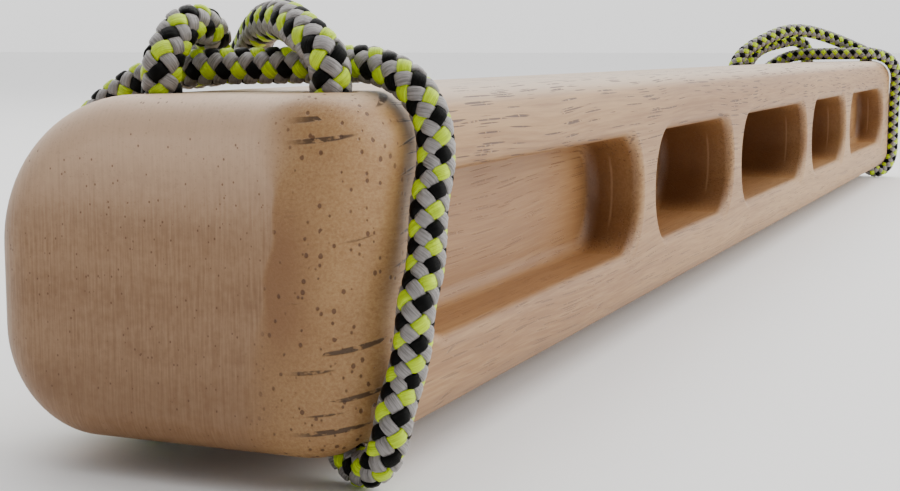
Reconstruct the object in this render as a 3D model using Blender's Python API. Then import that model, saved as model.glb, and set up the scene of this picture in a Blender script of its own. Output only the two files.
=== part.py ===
"""Portable climbing hangboard: one hardwood beam with five finger pockets and a cord loop at each end.

Units are metres, +Z is up.  X runs along the beam, the pocketed front faces -Y, and the origin is the
centre of the bounding box at floor level: the beam stands on the cord that passes under its edges.
"""
import math

import bmesh
import bpy
from mathutils import Vector

MM = 0.001
OBJECT_NAME = "hangboard"

# Driving dimensions of the beam
LENGTH = 580 * MM
DEPTH = 61 * MM
HEIGHT = 50 * MM
STAND = 4.5 * MM                    # how far the cord lifts the beam's underside off the floor

# Rounding of the four long edges
FRONT_ROUND = 8 * MM
BACK_TOP_ROUND = 22.5 * MM
BACK_BOTTOM_ROUND = 15.5 * MM
TOP_FALL = 1 * MM                   # how far the top face falls from front to back

# Rounding where the long faces meet the end faces
END_ROUND_FRONT = 13.5 * MM
END_ROUND_FLAT = 6 * MM             # top and bottom
END_ROUND_BACK = 8.5 * MM
END_STEPS = 8
CORNER_STEPS = 7

# Finger pockets in millimetres: from the left end to the near wall, to the far wall, and the depth
POCKETS = [(20, 136, 12), (149, 226, 20), (239, 341, 30), (354, 431, 20), (444, 548, 12)]
POCKET_HEIGHT = 24 * MM
POCKET_RISE = 0.7 * MM              # pocket centre above the beam's centre
POCKET_CORNER = 11.5 * MM
POCKET_LIP = 2.5 * MM
POCKET_COVE = 3 * MM
ROUND_STEPS = 3

# Cord and the vertical holes that it passes through
CORD_RADIUS = 3 * MM
HOLE_RADIUS = 3.75 * MM
HOLE_FROM_END = 13 * MM
FRONT_HOLE = 11 * MM                # from the front face
BACK_HOLE = 38 * MM
HOLE_SIDES = 24
CLEARANCE = 0.35 * MM
CHANNEL_RADIUS = 3.7 * MM
HINGE_RISE = CORD_RADIUS + 0.4 * MM     # loop hinge axis above the top face
CORD_POINTS = 64
LOOP_POINTS = 30
CHANNEL_POINTS = 22
CORD_RESOLUTION = 2

FRONT = -DEPTH / 2
BASE = STAND
TOP = STAND + HEIGHT
MIDDLE = STAND + HEIGHT / 2

WOOD = (0.52, 0.37, 0.25, 1.0)
CORD_GREEN = (0.36, 0.42, 0.10, 1.0)

# Route points of a cord, in millimetres: from the beam's end, from its front face, above its mid-height.
# The wrap goes down the front hole, under, up the front, over the top, down the back and up the back hole.
# Its front run slants from near the beam's rounded end towards the middle on the way up.
LEFT_FRONT_UNDER = [
    (13, 11, -14), (13, 10.8, -18.8), (12.5, 10, -23.2), (10.6, 7, -26.2), (8.2, 3.2, -26.4),
    (6.4, 0.2, -24), (5.9, -1.2, -20.8),
]
LEFT_FRONT = [
    (6.2, -1.7, -17.4), (7.8, -2.4, -13.5), (8.1, -3.4, -8.8), (8.5, -3.8, -3.3), (10.8, -4, 0.9),
    (12.2, -3.8, 4.7), (13.5, -3.6, 10.1), (15.8, -3.6, 15.4), (16.7, -2.5, 21.4), (17.4, 1.3, 26.2),
    (19.6, 7.8, 28.4),
]
RIGHT_FRONT_UNDER = [
    (13, 11, -14), (13, 10.8, -18.8), (12.4, 10, -23.2), (10.2, 7, -26.2), (7.8, 3.4, -26.4),
    (6, 0.8, -24.2), (5.3, -0.6, -21),
]
RIGHT_FRONT = [
    (5, -1.3, -17), (4.8, -1.4, -9), (4.8, -1.4, -1), (5.4, -1.7, 7), (7.4, -2.4, 13.5),
    (10.4, -2.6, 20.2), (14, 0.9, 26), (18.6, 7.4, 28.4),
]
OVER_AND_BACK = [
    (21.4, 14, 28.4), (22, 21, 28.3), (22, 31, 28.1), (22, 38.5, 27.85), (22, 45.2, 26.9),
    (22, 51.45, 24.3), (22, 56.8, 20.3), (22, 60.9, 15.1), (22, 63.5, 9), (22, 64.4, 2.5),
    (22, 64.4, -5.5), (22, 64.1, -13), (22, 62.4, -18.1), (21.9, 59.4, -22.4),
]
BACK_UNDER = [
    (21.8, 52, -25.1), (21, 47.4, -26.4), (19.2, 43.6, -26.3), (16.6, 40.6, -25.2), (14.4, 38.8, -22.8),
    (13.2, 38.1, -19), (13, 38, -14),
]
# The loop rises from the front hole, leans inward over the wrap and comes back to the back hole.
LEFT_LOOP = [
    (14, 13, 30.8), (16.4, 16.8, 32.9), (21, 22, 34.7), (27, 28.2, 34.6), (32.5, 33, 33.1),
    (38, 37.6, 30.7), (42, 42, 28.6), (41.8, 46.6, 27.5), (38, 48.8, 27.1), (34, 47.2, 27.4),
    (31.6, 43.2, 28.9), (29.2, 39.4, 31.2), (26, 37.8, 33.3), (22, 37.6, 34.4), (18.2, 37.9, 33.6),
    (15.2, 37.9, 31),
]
RIGHT_LOOP = [
    (13.3, 14.5, 30.3), (14.5, 20.4, 33), (18, 27.7, 36), (22.5, 34.5, 38.2), (28, 41, 39),
    (33.5, 47.2, 37.7), (38.5, 53, 34.7), (43, 58.2, 31.4), (46.6, 62.4, 27.3), (48.6, 64.8, 22.2),
    (48, 65.6, 17.6), (45.2, 65.2, 14.8), (41.6, 64.2, 14.8), (39.2, 62.8, 17.8), (38.8, 61.4, 22),
    (37.8, 59.8, 26), (34.8, 57.4, 29.4), (30.4, 53.8, 31.8), (25.5, 48.8, 33.4), (20, 43.6, 34.6),
    (16, 40.2, 33.2), (13.7, 38.5, 30.6),
]


def clear_scene():
    for existing in list(bpy.data.objects):
        bpy.data.objects.remove(existing, do_unlink=True)


def make_material(name, colour, roughness):
    material = bpy.data.materials.new(name)
    material.use_nodes = True
    shader = material.node_tree.nodes["Principled BSDF"]
    shader.inputs["Base Color"].default_value = colour
    shader.inputs["Roughness"].default_value = roughness
    shader.inputs["Metallic"].default_value = 0.0
    return material


def make_collection(name):
    collection = bpy.data.collections.new(name)
    bpy.context.scene.collection.children.link(collection)
    return collection


def mesh_object(name, bm, collection):
    bmesh.ops.recalc_face_normals(bm, faces=bm.faces)
    mesh = bpy.data.meshes.new(name)
    bm.to_mesh(mesh)
    bm.free()
    obj = bpy.data.objects.new(name, mesh)
    collection.objects.link(obj)
    return obj


def loft(name, rings, collection):
    """A closed skin through rings of equal point counts, capped at both ends."""
    bm = bmesh.new()
    loops = [[bm.verts.new(point) for point in ring] for ring in rings]
    count = len(rings[0])
    for lower, upper in zip(loops, loops[1:]):
        for i in range(count):
            j = (i + 1) % count
            bm.faces.new((lower[i], lower[j], upper[j], upper[i]))
    bm.faces.new(loops[0])
    bm.faces.new(loops[-1])
    return mesh_object(name, bm, collection)


def rounded_outline(left, right, low, high, radii, steps):
    """Points round a rectangle; radii are for the corners low-left, low-right, high-right, high-left."""
    corners = [(left, low, 180), (right, low, 270), (right, high, 0), (left, high, 90)]
    points = []
    for (x, y, start), radius in zip(corners, radii):
        centre_x = x + radius if x == left else x - radius
        centre_y = y + radius if y == low else y - radius
        for k in range(steps + 1):
            angle = math.radians(start + 90 * k / steps)
            points.append((centre_x + radius * math.cos(angle), centre_y + radius * math.sin(angle)))
    return points


def end_inset(radius, distance):
    """How far a face has rounded inward at this distance from the end face."""
    if distance >= radius:
        return 0.0
    return radius - math.sqrt(radius ** 2 - (radius - distance) ** 2)


def beam_section(distance, x):
    """The beam's outline in the YZ plane at this distance from its nearer end."""
    front = end_inset(END_ROUND_FRONT, distance)
    flat = end_inset(END_ROUND_FLAT, distance)
    back = end_inset(END_ROUND_BACK, distance)
    front_radius = FRONT_ROUND - flat / 2
    radii = (front_radius, BACK_BOTTOM_ROUND - flat, BACK_TOP_ROUND - flat, front_radius)
    outline = rounded_outline(FRONT + front, FRONT + DEPTH - back, BASE + flat, TOP - flat, radii, CORNER_STEPS)
    return [(x, y, z - top_fall(y, z)) for y, z in outline]


def top_fall(y, z):
    """How far the sloping top face lowers this point of the outline."""
    return TOP_FALL * max(0.0, z - MIDDLE) / (HEIGHT / 2) * (y - FRONT) / DEPTH


def beam_stations():
    """Distances from the end face where the beam's section is set out, over its rounded end."""
    angles = [math.pi / 2 * k / END_STEPS for k in range(END_STEPS + 1)]
    return [END_ROUND_FRONT * (1 - math.cos(angle)) for angle in angles]


def make_beam(collection):
    stations = beam_stations()
    rings = [beam_section(d, d - LENGTH / 2) for d in stations]
    rings += [beam_section(d, LENGTH / 2 - d) for d in reversed(stations)]
    return loft("beam", rings, collection)


def make_pocket_cutter(name, centre, width, depth, collection):
    """A pocket's negative: round lip at the face, straight walls, cove at the bottom."""
    quarter = [math.pi / 2 * k / ROUND_STEPS for k in range(ROUND_STEPS + 1)]
    profile = [(-POCKET_LIP, POCKET_LIP)]
    profile += [(POCKET_LIP * (1 - math.cos(a)), POCKET_LIP * (1 - math.sin(a))) for a in quarter]
    start = depth - POCKET_COVE
    profile += [(start + POCKET_COVE * math.sin(a), -POCKET_COVE * (1 - math.cos(a))) for a in quarter]
    rings = []
    for inward, grow in profile:
        half = width / 2 + grow
        low = MIDDLE + POCKET_RISE - POCKET_HEIGHT / 2 - grow
        high = MIDDLE + POCKET_RISE + POCKET_HEIGHT / 2 + grow
        corner = POCKET_CORNER + grow
        outline = rounded_outline(centre - half, centre + half, low, high, [corner] * 4, CORNER_STEPS)
        rings.append([(x, FRONT + inward, z) for x, z in outline])
    return loft(name, rings, collection)


def pocket_place(start, end):
    """Centre X and width of a pocket from its two walls' distances from the left end."""
    return ((start + end) * MM - LENGTH) / 2, (end - start) * MM


def route_to_world(points, side):
    """Route points become world positions; side is -1 for the left end and 1 for the right."""
    return [
        Vector((side * (LENGTH / 2 - from_end * MM), FRONT + from_front * MM, MIDDLE + above * MM))
        for from_end, from_front, above in points
    ]


def catmull_rom(points, t):
    """A smooth curve through the points; t runs from 0 to the number of spans."""
    last = len(points) - 2
    i = min(int(t), last)
    u = t - i
    p1, p2 = points[i], points[i + 1]
    p0 = points[i - 1] if i else p1 * 2 - p2
    p3 = points[i + 2] if i < last else p2 * 2 - p1
    return 0.5 * (2 * p1 + (p2 - p0) * u + (2 * p0 - 5 * p1 + 4 * p2 - p3) * u ** 2
                  + (3 * p1 - p0 - 3 * p2 + p3) * u ** 3)


def even_points(points, count):
    """Points at equal steps of length along the smooth curve."""
    fine = [catmull_rom(points, (len(points) - 1) * k / 800) for k in range(801)]
    lengths = [0.0]
    for a, b in zip(fine, fine[1:]):
        lengths.append(lengths[-1] + (b - a).length)
    result, i = [], 0
    for k in range(count):
        target = lengths[-1] * k / (count - 1)
        while i < len(fine) - 2 and lengths[i + 1] < target:
            i += 1
        span = lengths[i + 1] - lengths[i]
        result.append(fine[i].lerp(fine[i + 1], (target - lengths[i]) / span))
    return result


def make_tube(name, points, radii, radius, material, collection):
    curve = bpy.data.curves.new(name, "CURVE")
    curve.dimensions = "3D"
    curve.bevel_depth = radius
    curve.bevel_resolution = CORD_RESOLUTION
    curve.use_fill_caps = True
    spline = curve.splines.new("POLY")
    spline.points.add(len(points) - 1)
    for slot, point, scale in zip(spline.points, points, radii):
        slot.co = (*point, 1.0)
        slot.radius = scale
    obj = bpy.data.objects.new(name, curve)
    if material:
        curve.materials.append(material)
    collection.objects.link(obj)
    return obj


def tube_cutter(name, points, radius, collection):
    """A tube turned into a closed mesh, because a curve can't be a cutter."""
    tube = make_tube(name + "_curve", points, [1.0] * len(points), radius, None, collection)
    bpy.context.view_layer.update()
    evaluated = tube.evaluated_get(bpy.context.evaluated_depsgraph_get())
    mesh = bpy.data.meshes.new_from_object(evaluated)
    bm = bmesh.new()
    bm.from_mesh(mesh)
    bmesh.ops.remove_doubles(bm, verts=bm.verts, dist=0.00001)
    bm.to_mesh(mesh)
    bm.free()
    cutter = bpy.data.objects.new(name, mesh)
    cutter.matrix_world = tube.matrix_world
    bpy.data.objects.remove(tube, do_unlink=True)
    collection.objects.link(cutter)
    return cutter


def hole_cutter(name, x, from_front, collection):
    bm = bmesh.new()
    bmesh.ops.create_cone(bm, cap_ends=True, segments=HOLE_SIDES, radius1=HOLE_RADIUS,
                          radius2=HOLE_RADIUS, depth=HEIGHT * 1.2)
    cutter = mesh_object(name, bm, collection)
    cutter.location = (x, FRONT + from_front, MIDDLE)
    return cutter


def cut(target, cutter):
    cutter.hide_render = True
    cutter.display_type = "WIRE"
    modifier = target.modifiers.new(cutter.name, "BOOLEAN")
    modifier.operation = "DIFFERENCE"
    modifier.solver = "EXACT"
    modifier.object = cutter


def wrap_route(front_under, front_run, side):
    """From just above the front hole's mouth round the beam to just above the back hole's mouth."""
    start = TOP + HINGE_RISE - CORD_RADIUS - CLEARANCE
    rise = (start - MIDDLE) / MM
    hole, front, back = HOLE_FROM_END / MM, FRONT_HOLE / MM, BACK_HOLE / MM
    points = [(hole, front, rise), (hole, front, rise / 2), (hole, front, 0), *front_under]
    points += [*front_run, *OVER_AND_BACK, *BACK_UNDER]
    points += [(hole, back, 0), (hole, back, rise / 2), (hole, back, rise)]
    return route_to_world(points, side)


def loop_route(points, side):
    """The loop with its two round ends centred on the hinge axis above the hole mouths."""
    axis = (HEIGHT / 2 + HINGE_RISE) / MM
    hole, front, back = HOLE_FROM_END / MM, FRONT_HOLE / MM, BACK_HOLE / MM
    return route_to_world([(hole, front, axis), *points, (hole, back, axis)], side)


def round_ends(points, steps=4):
    """Extra points and radii that close each end of a tube with half a ball."""
    def cap(end, inner):
        outward = (end - inner).normalized()
        angles = [math.radians(88) * k / steps for k in range(steps, 0, -1)]
        return [(end + outward * CORD_RADIUS * math.sin(a), math.cos(a)) for a in angles]
    head = cap(points[0], points[1])
    tail = cap(points[-1], points[-2])[::-1]
    body = [(point, 1.0) for point in points]
    joined = head + body + tail
    return [point for point, _ in joined], [scale for _, scale in joined]


def make_end(side, word, routes, board, cord, parts, cutters):
    """One end of the board: two holes, the channels under them, and the cord's wrap and loop."""
    front_under, front_run, loop_points = routes
    x = side * (LENGTH / 2 - HOLE_FROM_END)
    cut(board, hole_cutter(word + "_front_hole", x, FRONT_HOLE, cutters))
    cut(board, hole_cutter(word + "_back_hole", x, BACK_HOLE, cutters))
    unders = {"front": [*front_under, front_run[0]], "back": [OVER_AND_BACK[-1], *BACK_UNDER]}
    for place, under in unders.items():
        points = even_points(route_to_world(under, side), CHANNEL_POINTS)
        cut(board, tube_cutter(f"{word}_{place}_channel", points, CHANNEL_RADIUS, cutters))
    wrap = even_points(wrap_route(front_under, front_run, side), CORD_POINTS)
    make_tube(word + "_cord_wrap", wrap, [1.0] * len(wrap), CORD_RADIUS, cord, parts)
    loop, radii = round_ends(even_points(loop_route(loop_points, side), LOOP_POINTS))
    make_tube(word + "_cord_loop", loop, radii, CORD_RADIUS, cord, parts)


def main():
    clear_scene()
    parts = make_collection(OBJECT_NAME)
    cutters = make_collection("cutters")
    wood = make_material("hardwood", WOOD, 0.6)
    cord = make_material("braided_cord", CORD_GREEN, 0.55)

    board = make_beam(parts)
    board.name = "board"
    board.data.materials.append(wood)
    for number, (start, end, depth) in enumerate(POCKETS, start=1):
        centre, width = pocket_place(start, end)
        cut(board, make_pocket_cutter(f"pocket_{number}", centre, width, depth * MM, cutters))
    make_end(-1, "left", (LEFT_FRONT_UNDER, LEFT_FRONT, LEFT_LOOP), board, cord, parts, cutters)
    make_end(1, "right", (RIGHT_FRONT_UNDER, RIGHT_FRONT, RIGHT_LOOP), board, cord, parts, cutters)
    board.data.shade_smooth()


main()
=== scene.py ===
"""Looks of the portable climbing hangboard: a sanded hardwood beam and two braided cords.

Units are metres.  X runs along the beam, its pocketed front faces -Y, +Z is up.
"""
import math

import bmesh
import bpy
import numpy as np
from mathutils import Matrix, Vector


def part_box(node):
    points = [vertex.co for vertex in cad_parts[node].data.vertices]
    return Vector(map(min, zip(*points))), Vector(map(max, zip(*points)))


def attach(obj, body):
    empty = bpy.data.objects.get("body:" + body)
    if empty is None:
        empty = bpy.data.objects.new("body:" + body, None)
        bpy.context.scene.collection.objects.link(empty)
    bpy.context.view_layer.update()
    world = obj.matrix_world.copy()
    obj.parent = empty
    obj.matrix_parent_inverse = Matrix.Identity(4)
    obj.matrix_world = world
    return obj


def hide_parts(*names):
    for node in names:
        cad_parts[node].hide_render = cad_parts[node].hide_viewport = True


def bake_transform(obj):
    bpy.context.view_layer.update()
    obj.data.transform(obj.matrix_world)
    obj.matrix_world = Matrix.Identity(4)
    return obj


MM = 0.001

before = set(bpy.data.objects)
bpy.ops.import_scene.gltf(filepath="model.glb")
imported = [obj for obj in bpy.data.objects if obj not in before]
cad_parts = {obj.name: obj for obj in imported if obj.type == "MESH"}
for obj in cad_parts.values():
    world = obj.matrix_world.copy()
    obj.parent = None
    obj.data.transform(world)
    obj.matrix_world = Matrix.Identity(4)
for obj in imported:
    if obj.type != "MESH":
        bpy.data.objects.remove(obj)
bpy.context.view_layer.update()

BOARD_LOW, BOARD_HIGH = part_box("board")
LENGTH = BOARD_HIGH.x - BOARD_LOW.x
DEPTH = BOARD_HIGH.y - BOARD_LOW.y
HEIGHT = BOARD_HIGH.z - BOARD_LOW.z
CENTRE_X = (BOARD_LOW.x + BOARD_HIGH.x) / 2
MIDDLE = (BOARD_LOW.z + BOARD_HIGH.z) / 2
FRONT = BOARD_LOW.y
TOP = BOARD_HIGH.z

# Rounding of the beam's long edges and ends
FRONT_ROUND = 8 * MM
BACK_TOP_ROUND = 22.5 * MM
BACK_BOTTOM_ROUND = 15.5 * MM
TOP_FALL = 1 * MM
END_ROUND_FRONT = 13.5 * MM
END_ROUND_FLAT = 6 * MM
END_ROUND_BACK = 8.5 * MM
END_STEPS = 20
CORNER_STEPS = 20

# Pockets in millimetres (left end to near wall, to far wall, depth) and holes
POCKETS = [(20, 136, 12), (149, 226, 20), (239, 341, 30), (354, 431, 20), (444, 548, 12)]
POCKET_HEIGHT = 24 * MM
POCKET_RISE = 0.7 * MM
POCKET_CORNER = 11.5 * MM
POCKET_LIP = 2.5 * MM
POCKET_COVE = 3 * MM
POCKET_STEPS = 8
HOLE_RADIUS = 3.75 * MM
HOLE_LIP = 0.9 * MM
HOLE_FROM_END = 13 * MM
FRONT_HOLE = 11 * MM
BACK_HOLE = 38 * MM
HOLE_SIDES = 48
CHANNEL_RADIUS = 3.7 * MM

# Cord
CORD_DIAMETER = 6 * MM
HINGE_RISE = 3.4 * MM
WRAP_SCALE = 0.91                   # the cord is drawn thinner where it is pulled tight round the beam
WRAP_TAPER = 25 * MM                # length over which it narrows from each hole
BACK_HUG = 0.021                    # share by which the wrap is drawn in where it presses on the back
HUG_CENTRE = 30                     # in millimetres behind the front face: what it is drawn in towards,
HUG_START, HUG_LENGTH = 40, 12      # and the stretch over which that grows
SPLIT_DEPTH = 12 * MM               # below the top face, where a cord's wrap and loop meet in the hole
SMOOTHING = 17                      # points over which a route's small wiggles are averaged out

# Route points, in millimetres: from the beam's end, from its front face, above its mid-height
LEFT_FRONT_UNDER = [
    (13, 11, -14), (13, 10.8, -18.8), (12.5, 10, -23.2), (10.6, 7, -26.2), (8.2, 3.2, -26.4),
    (6.4, 0.2, -24), (5.9, -1.2, -20.8),
]
LEFT_FRONT = [
    (6.2, -1.7, -17.4), (7.8, -2.4, -13.5), (8.1, -3.4, -8.8), (8.5, -3.8, -3.3), (10.8, -4, 0.9),
    (12.2, -3.8, 4.7), (13.5, -3.6, 10.1), (15.8, -3.6, 15.4), (16.7, -2.5, 21.4), (17.4, 1.3, 26.2),
    (19.6, 7.8, 28.4),
]
RIGHT_FRONT_UNDER = [
    (13, 11, -14), (13, 10.8, -18.8), (12.4, 10, -23.2), (10.2, 7, -26.2), (7.8, 3.4, -26.4),
    (6, 0.8, -24.2), (5.3, -0.6, -21),
]
RIGHT_FRONT = [
    (5, -1.3, -17), (4.8, -1.4, -9), (4.8, -1.4, -1), (5.4, -1.7, 7), (7.4, -2.4, 13.5),
    (10.4, -2.6, 20.2), (14, 0.9, 26), (18.6, 7.4, 28.4),
]
OVER_AND_BACK = [
    (21.4, 14, 28.4), (22, 21, 28.3), (22, 31, 28.1), (22, 38.5, 27.85), (22, 45.2, 26.9),
    (22, 51.45, 24.3), (22, 56.8, 20.3), (22, 60.9, 15.1), (22, 63.5, 9), (22, 64.4, 2.5),
    (22, 64.4, -5.5), (22, 64.1, -13), (22, 62.4, -18.1), (21.9, 59.4, -22.4),
]
BACK_UNDER = [
    (21.8, 52, -25.1), (21, 47.4, -26.4), (19.2, 43.6, -26.3), (16.6, 40.6, -25.2), (14.4, 38.8, -22.8),
    (13.2, 38.1, -19), (13, 38, -14),
]
LEFT_LOOP = [
    (14, 13, 30.8), (16.4, 16.8, 32.9), (21, 22, 34.7), (27, 28.2, 34.6), (32.5, 33, 33.1),
    (38, 37.6, 30.7), (42, 42, 28.6), (41.8, 46.6, 27.5), (38, 48.8, 27.1), (34, 47.2, 27.4),
    (31.6, 43.2, 28.9), (29.2, 39.4, 31.2), (26, 37.8, 33.3), (22, 37.6, 34.4), (18.2, 37.9, 33.6),
    (15.2, 37.9, 31),
]
RIGHT_LOOP = [
    (13.3, 14.5, 30.3), (14.5, 20.4, 33), (18, 27.7, 36), (22.5, 34.5, 38.2), (28, 41, 39),
    (33.5, 47.2, 37.7), (38.5, 53, 34.7), (43, 58.2, 31.4), (46.6, 62.4, 27.3), (48.6, 64.8, 22.2),
    (48, 65.6, 17.6), (45.2, 65.2, 14.8), (41.6, 64.2, 14.8), (39.2, 62.8, 17.8), (38.8, 61.4, 22),
    (37.8, 59.8, 26), (34.8, 57.4, 29.4), (30.4, 53.8, 31.8), (25.5, 48.8, 33.4), (20, 43.6, 34.6),
    (16, 40.2, 33.2), (13.7, 38.5, 30.6),
]


# ---------------------------------------------------------------- camera, light and floor

def place_camera():
    data = bpy.data.cameras.new("camera")
    data.sensor_width = 36.0
    data.lens = 61.9
    camera = bpy.data.objects.new("camera", data)
    bpy.context.scene.collection.objects.link(camera)
    camera.location = (BOARD_LOW.x - 178.5 * MM, FRONT - 85.3 * MM, MIDDLE + 30.7 * MM)
    yaw, pitch = math.radians(22.29), math.radians(-7.26)
    forward = Vector((math.cos(yaw) * math.cos(pitch), math.sin(yaw) * math.cos(pitch), math.sin(pitch)))
    camera.rotation_euler = forward.to_track_quat("-Z", "Y").to_euler()
    bpy.context.scene.camera = camera


def area_light(name, place, target, size, power, colour):
    data = bpy.data.lights.new(name, "AREA")
    data.shape = "RECTANGLE"
    data.size, data.size_y = size
    data.energy = power
    data.color = colour
    light = bpy.data.objects.new(name, data)
    bpy.context.scene.collection.objects.link(light)
    light.location = place
    light.rotation_euler = (Vector(target) - Vector(place)).to_track_quat("-Z", "Y").to_euler()


def math_node(tree, operation, *items):
    node = tree.nodes.new("ShaderNodeMath")
    node.operation = operation
    for socket, item in zip(node.inputs, items):
        if isinstance(item, float):
            socket.default_value = item
        else:
            tree.links.new(item, socket)
    return node.outputs[0]


def light_room():
    """A white room, brighter above and towards +X, so that the beam's near end falls into soft shade."""
    world = bpy.data.worlds.new("studio")
    bpy.context.scene.world = world
    world.use_nodes = True
    tree = world.node_tree
    background = tree.nodes["Background"]
    background.inputs["Color"].default_value = (1.0, 1.0, 1.0, 1.0)
    direction = tree.nodes.new("ShaderNodeTexCoord").outputs["Generated"]
    split = tree.nodes.new("ShaderNodeSeparateXYZ")
    tree.links.new(direction, split.inputs[0])
    ramp = tree.nodes.new("ShaderNodeMapRange")
    ramp.interpolation_type = "SMOOTHSTEP"
    tree.links.new(split.outputs["X"], ramp.inputs[0])
    for socket, value in zip(ramp.inputs[1:5], (-0.75, 0.8, 0.0, 1.0)):
        socket.default_value = value
    high = math_node(tree, "MAXIMUM", split.outputs["Z"], 0.0)
    bright = math_node(tree, "MULTIPLY_ADD", high, 1.25, 1.37)
    dim = math_node(tree, "MULTIPLY_ADD", high, 0.3, 0.08)
    strength = math_node(tree, "MULTIPLY_ADD", ramp.outputs["Result"], bright, dim)
    tree.links.new(strength, background.inputs["Strength"])


def light_scene():
    light_room()
    target = (BOARD_LOW.x + 0.12, 0, MIDDLE)
    area_light("overhead", (0.25, 0.1, 1.1), target, (1.8, 1.4), 10, (1.0, 0.99, 0.97))
    area_light("front_key", (0.35, -1.0, 0.5), target, (0.9, 0.6), 8, (1.0, 0.98, 0.95))


def make_floor():
    bm = bmesh.new()
    bmesh.ops.create_grid(bm, x_segments=1, y_segments=1, size=20.0)
    mesh = bpy.data.meshes.new("floor")
    bm.to_mesh(mesh)
    bm.free()
    floor = bpy.data.objects.new("floor", mesh)
    bpy.context.scene.collection.objects.link(floor)
    material = bpy.data.materials.new("floor")
    material.use_nodes = True
    shader = material.node_tree.nodes["Principled BSDF"]
    shader.inputs["Base Color"].default_value = (0.90, 0.90, 0.90, 1.0)
    shader.inputs["Roughness"].default_value = 0.9
    mesh.materials.append(material)


# ---------------------------------------------------------------- node helpers

class Nodes:
    """A short way to build one material's node tree."""

    def __init__(self, name, roughness):
        self.material = bpy.data.materials.new(name)
        self.material.use_nodes = True
        self.tree = self.material.node_tree
        self.shader = self.tree.nodes["Principled BSDF"]
        self.shader.inputs["Roughness"].default_value = roughness

    def add(self, kind, settings=None, **inputs):
        node = self.tree.nodes.new(kind)
        for key, value in (settings or {}).items():
            setattr(node, key, value)
        for key, value in inputs.items():
            self.put(node.inputs[key.replace("_", " ")], value)
        return node

    def put(self, socket, value):
        if isinstance(value, bpy.types.NodeSocket):
            self.tree.links.new(value, socket)
        else:
            socket.default_value = value

    def math(self, operation, first, second=0.0, clamp=False):
        node = self.tree.nodes.new("ShaderNodeMath")
        node.operation = operation
        node.use_clamp = clamp
        self.put(node.inputs[0], first)
        self.put(node.inputs[1], second)
        return node.outputs[0]

    def ramp(self, value, low, high, out_low=0.0, out_high=1.0):
        node = self.tree.nodes.new("ShaderNodeMapRange")
        node.interpolation_type = "SMOOTHSTEP"
        for socket, item in zip(node.inputs, (value, low, high, out_low, out_high)):
            self.put(socket, item)
        return node.outputs["Result"]

    def mix(self, factor, first, second, blend="MIX"):
        node = self.tree.nodes.new("ShaderNodeMix")
        node.data_type = "RGBA"
        node.blend_type = blend
        self.put(node.inputs["Factor"], factor)
        self.put(node.inputs[6], first)
        self.put(node.inputs[7], second)
        return node.outputs[2]

    def stretch(self, vector, scale, offset=(0, 0, 0)):
        node = self.tree.nodes.new("ShaderNodeMapping")
        self.put(node.inputs["Vector"], vector)
        node.inputs["Location"].default_value = offset
        node.inputs["Scale"].default_value = scale
        return node.outputs["Vector"]

    def noise(self, vector, scale, detail=2.0, roughness=0.5):
        node = self.add("ShaderNodeTexNoise", Vector=vector, Scale=scale, Detail=detail, Roughness=roughness)
        return node.outputs["Fac"]

    def bump(self, height, strength, distance, normal=None):
        node = self.add("ShaderNodeBump", Height=height, Strength=strength, Distance=distance)
        if normal is not None:
            self.put(node.inputs["Normal"], normal)
        return node.outputs["Normal"]


# ---------------------------------------------------------------- cord

def catmull_rom(points, t):
    last = len(points) - 2
    i = min(int(t), last)
    u = t - i
    p1, p2 = points[i], points[i + 1]
    p0 = points[i - 1] if i else p1 * 2 - p2
    p3 = points[i + 2] if i < last else p2 * 2 - p1
    return 0.5 * (2 * p1 + (p2 - p0) * u + (2 * p0 - 5 * p1 + 4 * p2 - p3) * u ** 2
                  + (3 * p1 - p0 - 3 * p2 + p3) * u ** 3)


def route_to_world(points, side):
    points = np.array(points, float) * MM
    x = CENTRE_X + side * (LENGTH / 2 - points[:, 0])
    return np.stack([x, FRONT + points[:, 1], MIDDLE + points[:, 2]], axis=1)


def even_line(points, step):
    """Points at equal steps of about this length along the smooth curve through the route."""
    fine = np.array([catmull_rom(points, (len(points) - 1) * k / 4000) for k in range(4001)])
    along = np.concatenate([[0], np.cumsum(np.linalg.norm(np.diff(fine, axis=0), axis=1))])
    places = np.linspace(0, along[-1], max(2, round(along[-1] / step)) + 1)
    return np.stack([np.interp(places, along, fine[:, k]) for k in range(3)], axis=1), places


def soften(line, width):
    """The line with its small wiggles averaged out over this many points, ends kept."""
    kernel = np.hanning(width + 2)[1:-1]
    kernel /= kernel.sum()
    half = width // 2
    head = 2 * line[0] - line[half:0:-1]
    tail = 2 * line[-1] - line[-2:-half - 2:-1]
    padded = np.concatenate([head, line, tail])
    return np.stack([np.convolve(padded[:, k], kernel, "valid") for k in range(3)], axis=1)


def carried_frames(line):
    """Tangent, normal and side vectors carried along the line without twist."""
    tangents = np.gradient(line, axis=0)
    tangents /= np.linalg.norm(tangents, axis=1)[:, None]
    normal = np.cross(tangents[0], (0.0, 1.0, 0.0))
    normal /= np.linalg.norm(normal)
    normals = [normal]
    for tangent in tangents[1:]:
        normal = normal - tangent * (normal @ tangent)
        normal = normal / np.linalg.norm(normal)
        normals.append(normal)
    normals = np.array(normals)
    return tangents, normals, np.cross(tangents, normals)


STRANDS = 4                         # in each direction
PITCH = 1.71 * CORD_DIAMETER
YARN_THICK = 0.15 * CORD_DIAMETER
YARN_WIDE = 0.355 * CORD_DIAMETER
WAVE_SAMPLES = 8                    # samples along each over-and-under wave of a yarn
SECTION = 12                        # points round a yarn
GREY, BLACK, LIME, CORE = range(4)


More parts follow.
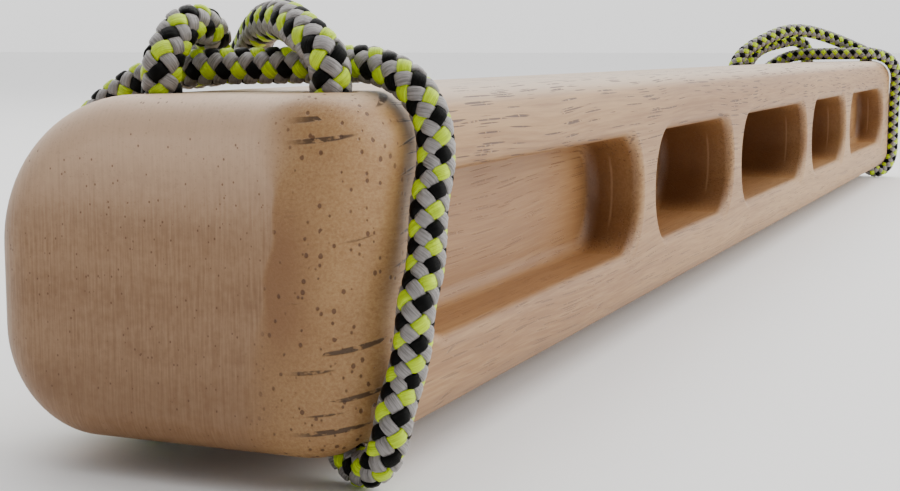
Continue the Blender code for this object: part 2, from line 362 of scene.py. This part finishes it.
def yarn_surface(line, places, frames, scale, direction, phase):
    """Rings of points of one yarn, its width coordinate and its length coordinate."""
    tangents, normals, sides = frames
    turn = 2 * math.pi * places / PITCH
    wave = np.tanh(2.0 * direction * np.cos(4 * turn)) / math.tanh(2.0)
    radius = scale * (CORD_DIAMETER / 2 - YARN_THICK + 0.5 * YARN_THICK * wave)
    angle = direction * turn + phase
    outward = normals * np.cos(angle)[:, None] + sides * np.sin(angle)[:, None]
    centres = line + outward * radius[:, None]
    along = np.gradient(centres, axis=0)
    along /= np.linalg.norm(along, axis=1)[:, None]
    across = np.cross(along, outward)
    across /= np.linalg.norm(across, axis=1)[:, None]
    up = np.cross(across, along)
    width = YARN_WIDE * (0.95 + 0.05 * wave) * (0.5 + 0.5 * scale)
    rings, widths = [], []
    for k in range(SECTION):
        a = 2 * math.pi * k / SECTION
        wide = math.copysign(abs(math.cos(a)) ** 0.6, math.cos(a))
        thick = math.copysign(abs(math.sin(a)) ** 0.9, math.sin(a))
        rings.append(centres + across * (wide * width / 2)[:, None] + up * thick * YARN_THICK / 2)
        widths.append(np.full(len(line), wide))
    length = np.concatenate([[0], np.cumsum(np.linalg.norm(np.diff(centres, axis=0), axis=1))])
    return np.stack(rings, axis=1), np.stack(widths, axis=1), np.repeat(length[:, None], SECTION, axis=1)


def tube_faces(rings, around, start):
    """Quads between neighbouring rings and a cap at each end."""
    i = np.arange(rings - 1)[:, None]
    j = np.arange(around)[None, :]
    a = i * around + j
    b = i * around + (j + 1) % around
    quads = np.stack([a, b, b + around, a + around], axis=-1).reshape(-1, 4) + start
    caps = [list(range(start + around - 1, start - 1, -1)),
            list(range(start + (rings - 1) * around, start + rings * around))]
    return quads.tolist() + caps


def braid(name, line, places, frames, scale, start_turn, materials):
    """One mesh of eight interlaced yarns round a core painted near-black, as painted shade for the gaps
    between the yarns.
    """
    points, faces, slots, filament = [], [], [], []
    count = 0

    def append(rings, across, along, slot):
        nonlocal count
        made = tube_faces(rings.shape[0], rings.shape[1], count)
        points.append(rings.reshape(-1, 3))
        faces.extend(made)
        slots.extend([slot] * len(made))
        filament.append(np.stack([across.ravel(), along.ravel(), np.full(across.size, slot)], axis=1))
        count += rings.shape[0] * rings.shape[1]

    for k in range(STRANDS):
        phase = 2 * math.pi * k / STRANDS + start_turn
        append(*yarn_surface(line, places, frames, scale, -1, phase), GREY)
        append(*yarn_surface(line, places, frames, scale, 1, phase), BLACK if k % 2 else LIME)
    core = (scale * (CORD_DIAMETER / 2 - 1.45 * YARN_THICK))[:, None, None]
    angles = 2 * math.pi * np.arange(SECTION) / SECTION
    rings = line[:, None] + core * (frames[1][:, None] * np.cos(angles)[None, :, None]
                                    + frames[2][:, None] * np.sin(angles)[None, :, None])
    flat = np.zeros(rings.shape[:2])
    append(rings, flat, flat, CORE)

    mesh = bpy.data.meshes.new(name)
    mesh.from_pydata(np.concatenate(points).tolist(), [], faces)
    mesh.polygons.foreach_set("material_index", np.array(slots, np.int32))
    attribute = mesh.attributes.new("filament", "FLOAT_VECTOR", "POINT")
    attribute.data.foreach_set("vector", np.concatenate(filament).astype(np.float32).ravel())
    for material in materials:
        mesh.materials.append(material)
    mesh.shade_smooth()
    obj = bpy.data.objects.new(name, mesh)
    bpy.context.scene.collection.objects.link(obj)
    return obj


def yarn_material(name, colour, dark, shine):
    """Satin yarn of fine parallel filaments."""
    n = Nodes(name, 0.36)
    place = n.add("ShaderNodeAttribute", {"attribute_name": "filament"}).outputs["Vector"]
    fine = n.noise(n.stretch(place, (9.0, 260.0, 1.0)), 1.0, 3.0, 0.6)
    broad = n.noise(n.stretch(place, (2.5, 500.0, 1.0)), 1.0, 1.0)
    shade = n.math("ADD", n.math("MULTIPLY", fine, 0.7), n.math("MULTIPLY", broad, 0.3))
    tone = n.ramp(shade, 0.32, 0.62)
    n.put(n.shader.inputs["Base Color"], n.mix(tone, dark, colour))
    n.put(n.shader.inputs["Normal"], n.bump(fine, 0.85, 0.00014))
    n.shader.inputs["Specular IOR Level"].default_value = shine
    return n.material


def cord_materials():
    core = Nodes("cord_core", 0.9)
    # painted shade: the core is near-black so that the gaps between the yarns read as shade
    core.shader.inputs["Base Color"].default_value = (0.012, 0.012, 0.011, 1.0)
    return [
        yarn_material("yarn_grey", (0.34, 0.315, 0.305, 1), (0.105, 0.095, 0.088, 1), 0.5),
        yarn_material("yarn_black", (0.006, 0.006, 0.0055, 1), (0.002, 0.002, 0.002, 1), 0.05),
        yarn_material("yarn_lime", (0.64, 0.88, 0.004, 1), (0.34, 0.50, 0.001, 1), 0.25),
        core.material,
    ]


def make_cord(word, side, front_under, front_run, loop_points, start_turn, materials):
    """One closed cord in two pieces: its wrap, and its loop, which bends at the hole mouths."""
    hole, front, back = HOLE_FROM_END / MM, FRONT_HOLE / MM, BACK_HOLE / MM
    top = HEIGHT / 2 / MM
    split = top - SPLIT_DEPTH / MM
    axis = top + HINGE_RISE / MM
    over = []
    for x, y, z in OVER_AND_BACK:
        hug = 1 - BACK_HUG * min(max((y - HUG_START) / HUG_LENGTH, 0), 1)
        over.append((x, HUG_CENTRE + (y - HUG_CENTRE) * hug, z * hug))
    wrap = [(hole, front, split), (hole, front, 0), *front_under, *front_run, *over, *BACK_UNDER]
    wrap += [(hole, back, 0), (hole, back, split)]
    loop = [(hole, back, split), (hole, back, top - 3), (hole, back, axis), *loop_points[::-1]]
    loop += [(hole, front, axis), (hole, front, top - 3), (hole, front, split)]
    step = PITCH / 4 / WAVE_SAMPLES
    line, places = even_line(route_to_world(wrap + loop[1:], side), step)
    line = soften(line, SMOOTHING)
    frames = carried_frames(line)
    wrap_length = even_line(route_to_world(wrap, side), step)[1][-1]
    cut = int(round(wrap_length / (places[1] - places[0])))
    inside = np.clip(np.minimum(places, wrap_length - places) / WRAP_TAPER, 0, 1)
    scale = 1 - (1 - WRAP_SCALE) * inside ** 2 * (3 - 2 * inside)

    def piece(name, low, high):
        part = slice(low, high)
        some = tuple(vectors[part] for vectors in frames)
        return braid(name, line[part], places[part], some, scale[part], start_turn, materials), line[part]

    wrap_piece, _ = piece(word + "_cord_wrap_braid", 0, cut + 1)
    loop_piece, loop_line = piece(word + "_cord_loop_braid", cut, len(line))
    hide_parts(word + "_cord_wrap")
    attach(wrap_piece, "board")
    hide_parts(word + "_cord_loop")
    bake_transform(loop_piece)


# ---------------------------------------------------------------- beam

def mesh_object(name, bm):
    bmesh.ops.recalc_face_normals(bm, faces=bm.faces)
    mesh = bpy.data.meshes.new(name)
    bm.to_mesh(mesh)
    bm.free()
    obj = bpy.data.objects.new(name, mesh)
    bpy.context.scene.collection.objects.link(obj)
    return obj


def loft(name, rings):
    bm = bmesh.new()
    loops = [[bm.verts.new(point) for point in ring] for ring in rings]
    count = len(rings[0])
    for lower, upper in zip(loops, loops[1:]):
        for i in range(count):
            j = (i + 1) % count
            bm.faces.new((lower[i], lower[j], upper[j], upper[i]))
    bm.faces.new(loops[0])
    bm.faces.new(loops[-1])
    return mesh_object(name, bm)


def rounded_outline(left, right, low, high, radii, steps):
    corners = [(left, low, 180), (right, low, 270), (right, high, 0), (left, high, 90)]
    points = []
    for (x, y, start), radius in zip(corners, radii):
        centre_x = x + radius if x == left else x - radius
        centre_y = y + radius if y == low else y - radius
        for k in range(steps + 1):
            angle = math.radians(start + 90 * k / steps)
            points.append((centre_x + radius * math.cos(angle), centre_y + radius * math.sin(angle)))
    return points


def end_inset(radius, distance):
    if distance >= radius:
        return 0.0
    return radius - math.sqrt(radius ** 2 - (radius - distance) ** 2)


def beam_section(distance, x):
    front = end_inset(END_ROUND_FRONT, distance)
    flat = end_inset(END_ROUND_FLAT, distance)
    back = end_inset(END_ROUND_BACK, distance)
    front_radius = FRONT_ROUND - flat / 2
    radii = (front_radius, BACK_BOTTOM_ROUND - flat, BACK_TOP_ROUND - flat, front_radius)
    outline = rounded_outline(FRONT + front, FRONT + DEPTH - back, BOARD_LOW.z + flat, TOP - flat, radii,
                              CORNER_STEPS)
    return [(x, y, z - top_fall(y, z)) for y, z in outline]


def top_fall(y, z):
    return TOP_FALL * max(0.0, z - MIDDLE) / (HEIGHT / 2) * (y - FRONT) / DEPTH


def beam_stations():
    angles = [math.pi / 2 * k / END_STEPS for k in range(END_STEPS + 1)]
    return [END_ROUND_FRONT * (1 - math.cos(angle)) for angle in angles]


def pocket_cutter(name, centre, width, depth):
    quarter = [math.pi / 2 * k / POCKET_STEPS for k in range(POCKET_STEPS + 1)]
    profile = [(-POCKET_LIP, POCKET_LIP)]
    profile += [(POCKET_LIP * (1 - math.cos(a)), POCKET_LIP * (1 - math.sin(a))) for a in quarter]
    start = depth - POCKET_COVE
    profile += [(start + POCKET_COVE * math.sin(a), -POCKET_COVE * (1 - math.cos(a))) for a in quarter]
    rings = []
    for inward, grow in profile:
        half = width / 2 + grow
        low = MIDDLE + POCKET_RISE - POCKET_HEIGHT / 2 - grow
        high = MIDDLE + POCKET_RISE + POCKET_HEIGHT / 2 + grow
        corner = POCKET_CORNER + grow
        outline = rounded_outline(centre - half, centre + half, low, high, [corner] * 4, CORNER_STEPS)
        rings.append([(x, FRONT + inward, z) for x, z in outline])
    return loft(name, rings)


def hole_cutter(name, x, y):
    """A round hole whose two mouths flare softly."""
    half = HEIGHT / 2
    quarter = [math.pi / 2 * k / 6 for k in range(7)]
    upper = []
    for a in quarter:
        upper.append((HOLE_RADIUS + HOLE_LIP * (1 - math.cos(a)), half - HOLE_LIP * (1 - math.sin(a))))
    upper.append((HOLE_RADIUS + HOLE_LIP, half + 4 * MM))
    profile = [(radius, -height) for radius, height in reversed(upper)] + upper
    rings = []
    for radius, height in profile:
        turn = [2 * math.pi * k / HOLE_SIDES for k in range(HOLE_SIDES)]
        rings.append([(x + radius * math.cos(a), y + radius * math.sin(a), MIDDLE + height) for a in turn])
    return loft(name, rings)


def channel_cutter(name, points, side):
    line, _ = even_line(route_to_world(points, side), 0.8 * MM)
    _, normals, sides = carried_frames(line)
    angles = 2 * math.pi * np.arange(24) / 24
    rings = line[:, None] + CHANNEL_RADIUS * (normals[:, None] * np.cos(angles)[None, :, None]
                                              + sides[:, None] * np.sin(angles)[None, :, None])
    return loft(name, rings.tolist())


def make_beam(material):
    stations = beam_stations()
    low_end, high_end = CENTRE_X - LENGTH / 2, CENTRE_X + LENGTH / 2
    rings = [beam_section(d, low_end + d) for d in stations]
    rings += [beam_section(d, high_end - d) for d in reversed(stations)]
    beam = loft("beam", rings)
    cutters = []
    for number, (start, end, depth) in enumerate(POCKETS, start=1):
        centre = low_end + (start + end) / 2 * MM
        cutters.append(pocket_cutter(f"pocket_{number}", centre, (end - start) * MM, depth * MM))
    unders = {-1: (LEFT_FRONT_UNDER, LEFT_FRONT), 1: (RIGHT_FRONT_UNDER, RIGHT_FRONT)}
    for side, (front_under, front_run) in unders.items():
        x = CENTRE_X + side * (LENGTH / 2 - HOLE_FROM_END)
        cutters.append(hole_cutter(f"front_hole_{side}", x, FRONT + FRONT_HOLE))
        cutters.append(hole_cutter(f"back_hole_{side}", x, FRONT + BACK_HOLE))
        cutters.append(channel_cutter(f"front_channel_{side}", [*front_under, front_run[0]], side))
        cutters.append(channel_cutter(f"back_channel_{side}", [OVER_AND_BACK[-1], *BACK_UNDER], side))
    for cutter in cutters:
        modifier = beam.modifiers.new(cutter.name, "BOOLEAN")
        modifier.operation = "DIFFERENCE"
        modifier.solver = "EXACT"
        modifier.object = cutter
    bpy.context.view_layer.update()
    evaluated = beam.evaluated_get(bpy.context.evaluated_depsgraph_get())
    mesh = bpy.data.meshes.new_from_object(evaluated)
    for unused in [beam, *cutters]:
        bpy.data.objects.remove(unused, do_unlink=True)
    board = bpy.data.objects.new("board_body", mesh)
    bpy.context.scene.collection.objects.link(board)
    mesh.materials.clear()
    mesh.materials.append(material)
    mesh.shade_smooth()
    weighted = board.modifiers.new("weighted_normals", "WEIGHTED_NORMAL")
    weighted.weight = 80
    weighted.keep_sharp = True
    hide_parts("board")
    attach(board, "board")
    return board


# ---------------------------------------------------------------- wood

def marks(n, place, scale, chosen, radius, soft):
    """Scattered marks: one in the chosen share of cells, which are stretched to this scale per metre."""
    cells = n.add("ShaderNodeTexVoronoi", {"voronoi_dimensions": "3D", "feature": "F1"},
                  Vector=n.stretch(place, scale), Scale=1.0, Randomness=0.85)
    pick = n.add("ShaderNodeSeparateColor", Color=cells.outputs["Color"])
    size = n.ramp(pick.outputs["Red"], n.math("SUBTRACT", 1.0, chosen), 1.0, -0.1, radius)
    return n.ramp(n.math("SUBTRACT", size, cells.outputs["Distance"]), -soft, soft)


class BeamPlace:
    """Where a point of the beam is: its object coordinates and its distances from the beam's faces."""

    def __init__(self, n):
        self.place = n.add("ShaderNodeTexCoord").outputs["Object"]
        axes = n.add("ShaderNodeSeparateXYZ", Vector=self.place)
        self.x, self.y, self.z = axes.outputs["X"], axes.outputs["Y"], axes.outputs["Z"]
        self.from_centre = n.math("ABSOLUTE", n.math("SUBTRACT", self.x, CENTRE_X))
        self.depth = n.math("SUBTRACT", self.y, FRONT)
        self.rise = n.math("SUBTRACT", self.z, MIDDLE)
        self.height = n.math("ABSOLUTE", self.rise)
        normal = n.add("ShaderNodeNewGeometry").outputs["Normal"]
        facing = n.add("ShaderNodeSeparateXYZ", Vector=normal)
        self.facing_up = facing.outputs["Z"]
        self.facing_end = n.math("ABSOLUTE", facing.outputs["X"])

    def from_end(self, n, far, near):
        """0 where the beam's nearer end is over the first distance away, 1 where it is under the second."""
        return n.ramp(self.from_centre, LENGTH / 2 - far, LENGTH / 2 - near)


def bent_grain(n, place):
    """Coordinates in which the grain wanders a little."""
    wobble = n.add("ShaderNodeTexNoise", Vector=n.stretch(place, (9, 30, 30)), Scale=1.0, Detail=2.0)
    shift = n.add("ShaderNodeVectorMath", {"operation": "SCALE"}, Scale=0.008)
    n.put(shift.inputs[0], wobble.outputs["Color"])
    bent = n.add("ShaderNodeVectorMath", {"operation": "ADD"})
    n.put(bent.inputs[0], place)
    n.put(bent.inputs[1], shift.outputs["Vector"])
    return bent.outputs["Vector"]


def end_masks(n, at, warp):
    """The flat end grain, and the front corner beside it."""
    edge = n.math("ADD", 11 * MM, n.math("MULTIPLY", warp, 6 * MM))
    edge = n.math("SUBTRACT", edge, n.math("MULTIPLY", at.rise, 0.12))
    soft_below = n.ramp(at.rise, -2 * MM, -16 * MM, 0.4 * MM, 5 * MM)
    soft = n.math("ADD", soft_below, n.ramp(at.rise, 11 * MM, 18 * MM, 0, 4 * MM))
    behind_edge = n.ramp(at.depth, n.math("SUBTRACT", edge, soft), n.math("ADD", edge, soft))
    end = n.math("MULTIPLY", behind_edge, at.from_end(n, 10 * MM, 4 * MM))
    corner = n.math("MULTIPLY", at.from_end(n, 19 * MM, 7 * MM), n.math("SUBTRACT", 1.0, end))
    return end, n.math("MULTIPLY", corner, n.ramp(at.depth, 24 * MM, 16 * MM))


def long_grain(n, at, grain, fibres):
    """Colour of the faces along the grain; the top face is painted paler, a painted sheen standing in for
    the light it reflects at grazing angles.
    """
    bands = n.noise(n.stretch(grain, (3.5, 120, 120)), 1.0, 3.0, 0.55)
    broad = n.noise(n.stretch(grain, (6, 22, 22)), 1.0, 2.0)
    tone = n.math("ADD", n.math("MULTIPLY", fibres, 0.4), n.math("MULTIPLY", bands, 0.35))
    tone = n.math("ADD", tone, n.math("MULTIPLY", broad, 0.25))
    colour = n.mix(n.ramp(tone, 0.36, 0.64), (0.235, 0.110, 0.035, 1), (0.395, 0.228, 0.092, 1))
    # painted reflection: where the top faces up it is mixed towards a pale colour, standing in for its sheen
    # at grazing angles
    near_top = n.ramp(at.rise, 17 * MM, 20 * MM, 0.0, 0.65)
    painted_top_sheen = n.math("MULTIPLY", n.ramp(at.facing_up, 0.6, 0.97), near_top)
    return n.mix(painted_top_sheen, colour, (0.66, 0.52, 0.39, 1))


def end_grain(n, at, grain, scratches):
    """Colour of the flat ends, with painted light towards the top and painted shade towards the bottom."""
    rings = n.noise(n.stretch(grain, (8, 26, 190)), 1.0, 2.0, 0.5)
    tone = n.math("ADD", n.math("MULTIPLY", scratches, 0.45), n.math("MULTIPLY", rings, 0.3))
    tone = n.math("ADD", tone, n.math("MULTIPLY", n.noise(at.place, 900.0, 2.0), 0.25))
    colour = n.mix(n.ramp(tone, 0.32, 0.68), (0.225, 0.117, 0.052, 1), (0.350, 0.208, 0.112, 1))
    # painted light: the end is mixed paler towards its top, where light falls on it
    colour = n.mix(n.ramp(at.rise, 2 * MM, 24 * MM, 0.0, 0.6), colour, (0.82, 0.58, 0.41, 1))
    # painted shade: the end is mixed darker towards its bottom
    return n.mix(n.ramp(at.rise, -6 * MM, -24 * MM, 0.0, 0.4), colour, (0.22, 0.105, 0.038, 1))


def rough_corner(n, at, colour, corner, fuzz, warp):
    """The corner where the end grain turns into the front: fuzzy, with a patch of painted shade at
    mid-height where the rounding turns away from the light.
    """
    fuzzy = n.mix(n.ramp(fuzz, 0.3, 0.7), (0.270, 0.138, 0.052, 1), (0.400, 0.238, 0.106, 1))
    colour = n.mix(n.math("MULTIPLY", corner, 0.6), colour, fuzzy)
    ragged = n.math("ADD", at.height, n.math("MULTIPLY", warp, 10 * MM))
    # painted shade: a dark patch at mid-height of the corner, standing in for the shade where the rounding
    # turns from the light
    painted_shade_patch = n.math("MULTIPLY", corner, n.ramp(at.depth, 5 * MM, 12 * MM))
    painted_shade_patch = n.math("MULTIPLY", painted_shade_patch, n.ramp(ragged, 23 * MM, 8 * MM))
    return n.mix(n.math("MULTIPLY", painted_shade_patch, 0.8), colour, (0.21, 0.095, 0.036, 1))


def wood_marks(n, at, grain, end, corner):
    """Masks of the dashes on the faces, the dots on the ends, and the corner's pores and streaks."""
    place = at.place
    dashes = marks(n, grain, (72, 2500, 3300), 0.46, 0.56, 0.06)
    broken = n.noise(n.stretch(place, (700, 1500, 1500)), 1.0, 1.0)
    dashes = n.math("MULTIPLY", dashes, n.ramp(broken, 0.3, 0.45))
    dashes = n.math("MULTIPLY", dashes, n.ramp(at.rise, -2 * MM, 18 * MM, 0.45, 1.0))
    dashes = n.math("MULTIPLY", dashes, n.ramp(n.math("MAXIMUM", corner, end), 0.0, 0.8, 1.0, 0.1))

    dots = n.math("MULTIPLY", end, marks(n, place, (1100, 1900, 1500), 0.16, 0.30, 0.08))
    moved = n.stretch(place, (1, 1, 1), (3.1, 1.7, 0.4))
    pores = n.math("MULTIPLY", marks(n, moved, (1100, 1300, 1000), 0.42, 0.38, 0.08), corner)

    tilted = n.math("SUBTRACT", at.z, n.math("MULTIPLY", at.x, 0.2))
    sheets = n.add("ShaderNodeCombineXYZ", X=at.x, Y=at.y, Z=tilted).outputs["Vector"]
    sheets = n.stretch(sheets, (1, 1, 1), (1.3, 0.9, 0.2))
    streaks = marks(n, sheets, (66, 80, 1150), 0.5, 0.48, 0.08)
    front_of_end = n.math("MULTIPLY", at.from_end(n, 34 * MM, 26 * MM), n.ramp(at.depth, 12 * MM, 8 * MM))
    streaks = n.math("MULTIPLY", streaks, front_of_end)
    worn = n.noise(n.stretch(place, (900, 900, 1800)), 1.0, 2.0)
    return dashes, dots, pores, n.math("MULTIPLY", streaks, n.ramp(worn, 0.3, 0.5))


def pocket_colour(n, at, colour):
    """Inside the pockets: painted shade over the wood, the end walls darker still from their end grain and
    from painted shade growing with depth, and the pale line that the cutter left.
    """
    within = n.ramp(at.from_centre, LENGTH / 2 - 17.5 * MM, LENGTH / 2 - 19 * MM)
    inside = n.math("MULTIPLY", n.ramp(at.height, 16 * MM, 14.8 * MM), within)
    # painted shade: the wood inside the pockets is mixed darker, standing in for the shade in the recess
    pocket_shade = n.math("MULTIPLY", inside, n.ramp(at.depth, 0.3 * MM, 4 * MM))
    # end walls: partly their darker end grain, partly painted shade that grows deeper into the pocket
    end_grain_and_shade = n.ramp(at.depth, 0.1 * MM, 1.2 * MM, 0.0, 0.35)
    end_grain_and_shade = n.math("ADD", end_grain_and_shade, n.ramp(at.depth, 2 * MM, 11 * MM, 0.0, 0.42))
    end_grain_and_shade = n.math("MULTIPLY", n.math("MULTIPLY", end_grain_and_shade, inside), n.ramp(at.facing_end, 0.15, 0.7))
    colour = n.mix(n.math("MULTIPLY", pocket_shade, 0.35), colour, (0.30, 0.14, 0.05, 1))
    colour = n.mix(end_grain_and_shade, colour, (0.105, 0.036, 0.010, 1))
    line = n.math("MULTIPLY", n.ramp(at.depth, 6.3 * MM, 6.6 * MM), n.ramp(at.depth, 7.1 * MM, 6.7 * MM))
    line = n.math("MULTIPLY", n.math("MULTIPLY", line, inside), n.ramp(at.facing_end, 0.7, 0.95, 0.0, 0.3))
    return n.mix(line, colour, (0.50, 0.32, 0.18, 1))


def wood_material():
    n = Nodes("hardwood", 0.48)
    at = BeamPlace(n)
    warp = n.noise(at.place, 55.0, 2.0)
    grain = bent_grain(n, at.place)
    fibres = n.noise(n.stretch(grain, (45, 1800, 1800)), 1.0, 4.0, 0.6)
    scratches = n.noise(n.stretch(at.place, (400, 2600, 130)), 1.0, 2.0, 0.6)
    fuzz = n.noise(n.stretch(at.place, (1100, 2600, 2600)), 1.0, 3.0, 0.7)
    end, corner = end_masks(n, at, warp)

    colour = n.mix(end, long_grain(n, at, grain, fibres), end_grain(n, at, grain, scratches))
    colour = rough_corner(n, at, colour, corner, fuzz, warp)
    dashes, dots, pores, streaks = wood_marks(n, at, grain, end, corner)
    colour = n.mix(n.math("MULTIPLY", dots, 0.75), colour, (0.10, 0.035, 0.01, 1))
    colour = n.mix(n.math("MULTIPLY", dashes, 0.9), colour, (0.062, 0.018, 0.004, 1))
    colour = n.mix(n.math("MULTIPLY", pores, 0.8), colour, (0.075, 0.025, 0.008, 1))
    colour = n.mix(n.math("MULTIPLY", streaks, 0.85), colour, (0.035, 0.015, 0.006, 1))
    n.put(n.shader.inputs["Base Color"], pocket_colour(n, at, colour))

    end_relief = n.math("MULTIPLY", n.math("MULTIPLY", end, scratches), 0.5)
    corner_relief = n.math("MULTIPLY", n.math("MULTIPLY", corner, fuzz), 0.7)
    relief = n.math("ADD", n.math("MULTIPLY", fibres, 0.25), end_relief)
    relief = n.math("ADD", relief, corner_relief)
    sunk = n.math("MAXIMUM", n.math("MAXIMUM", dashes, pores), streaks)
    n.put(n.shader.inputs["Normal"], n.bump(n.math("SUBTRACT", relief, sunk), 0.5, 0.0002))
    n.shader.inputs["Specular IOR Level"].default_value = 0.4
    return n.material


# ---------------------------------------------------------------- scene

place_camera()
light_scene()
make_floor()
yarns = cord_materials()
make_cord("left", -1, LEFT_FRONT_UNDER, LEFT_FRONT, LEFT_LOOP, 0.33, yarns)
make_cord("right", 1, RIGHT_FRONT_UNDER, RIGHT_FRONT, RIGHT_LOOP, 0.0, yarns)
make_beam(wood_material())
